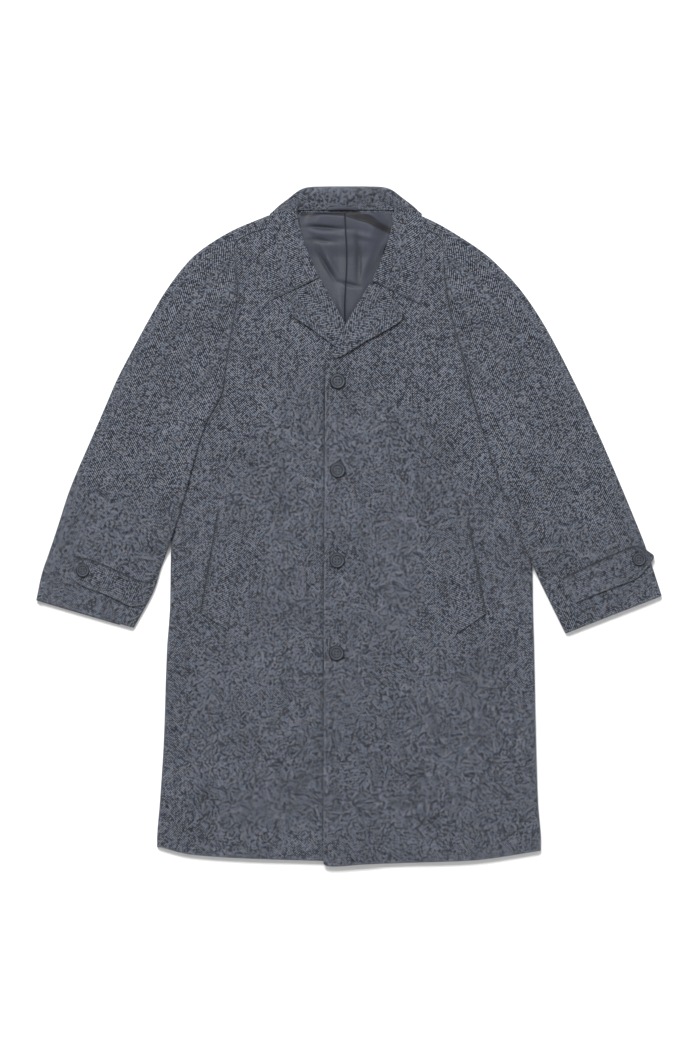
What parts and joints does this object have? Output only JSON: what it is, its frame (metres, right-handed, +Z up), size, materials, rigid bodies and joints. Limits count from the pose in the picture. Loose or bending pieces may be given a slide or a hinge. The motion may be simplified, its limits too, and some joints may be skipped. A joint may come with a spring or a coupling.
{
  "type": "wool overcoat",
  "caption": "Knee-length single-breasted wool overcoat with notch lapels, slanted welt pockets and buttoned cuff tabs, fastened and lying flat on its back.",
  "frame": {"origin": "middle of the coat's footprint on the surface that it lies on", "axes": "+Z up off the surface, +Y from the hem to the collar, +X to the wearer's left"},
  "size_m": [0.9998, 1.087, 0.0237],
  "materials": {
    "wool": "brushed herringbone wool, matt with a soft nap",
    "lining": "smooth twill lining, faint sheen",
    "button": "dark satin button"
  },
  "bodies": {
    "root": {"back": "wool", "front_right": "wool", "front_left": "wool", "back_sleeve_right": "wool", "back_sleeve_left": "wool", "front_sleeve_right": "wool", "front_sleeve_left": "wool", "lapel_right": "wool", "lapel_left": "wool", "collar_stand": "wool", "collar_leaf": "wool", "pocket_welt_right": "wool", "pocket_welt_left": "wool", "cuff_tab_right": "wool", "cuff_tab_left": "wool", "back_lining": "lining", "hanger_loop": "lining", "button_1": "button", "button_2": "button", "button_3": "button", "button_4": "button", "cuff_button_right": "button", "cuff_button_left": "button"}
  },
  "joints": []
}
